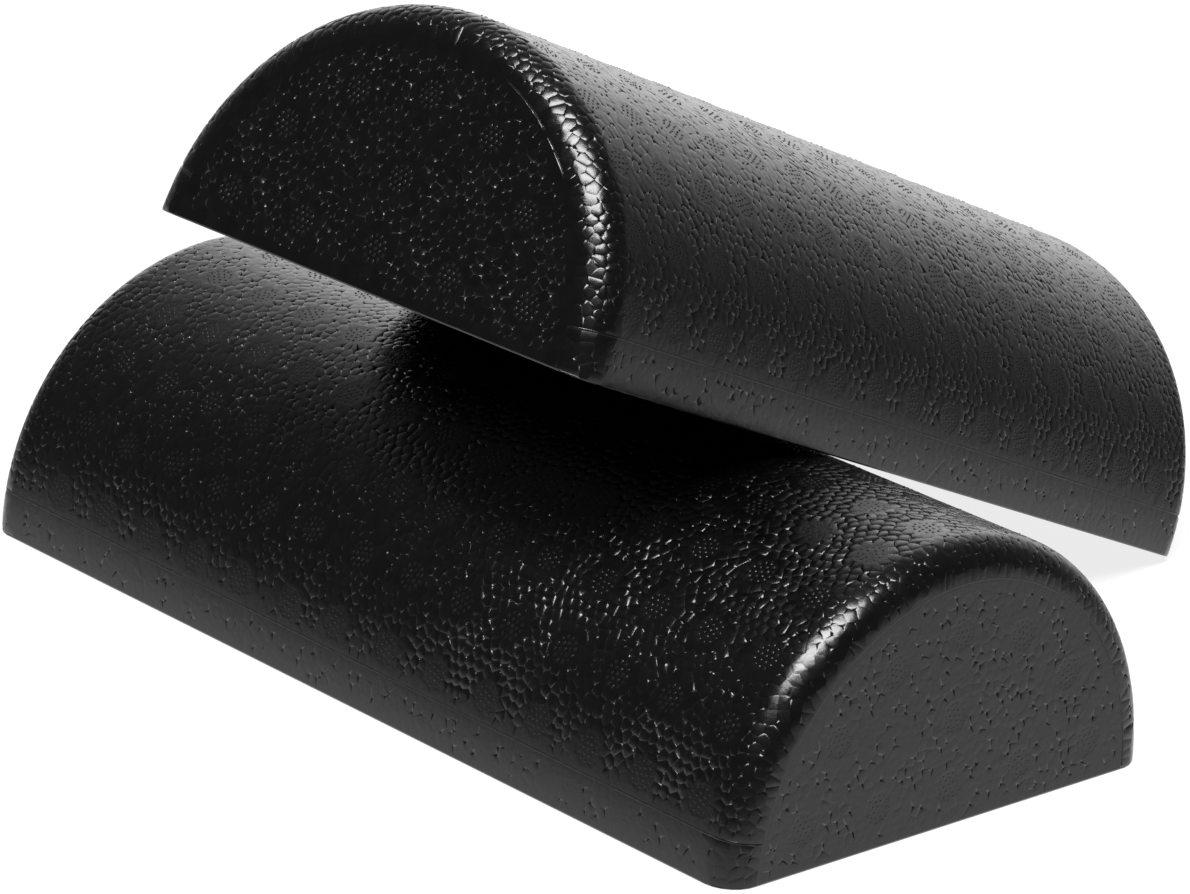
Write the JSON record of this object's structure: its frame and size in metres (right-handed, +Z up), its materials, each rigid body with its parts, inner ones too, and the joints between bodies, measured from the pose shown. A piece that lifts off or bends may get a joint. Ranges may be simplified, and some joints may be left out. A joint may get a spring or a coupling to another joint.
{
  "type": "pair of half-round foam rollers",
  "caption": "Half-round foam rollers for massage and balance work, solid black bead foam, one lying on its flat base and the other leaning across it.",
  "frame": {"origin": "centre of the lower half's flat base, on the floor", "axes": "+X along the lower half's barrel, +Z up from the floor, +Y towards the side where the upper half comes down to the floor"},
  "size_m": [0.3048, 0.3143, 0.1879],
  "materials": {
    "bead_foam": "black expanded polypropylene bead foam with a moulded satin skin"
  },
  "bodies": {
    "lower_half": {"lower_half_roller": "bead_foam"},
    "upper_half": {"upper_half_roller": "bead_foam"}
  },
  "joints": [
    {"name": "upper_half_lift", "type": "slide", "parent": "lower_half", "child": "upper_half", "axis": [0, 0, 1], "range_m": [0, 0.12]}
  ]
}
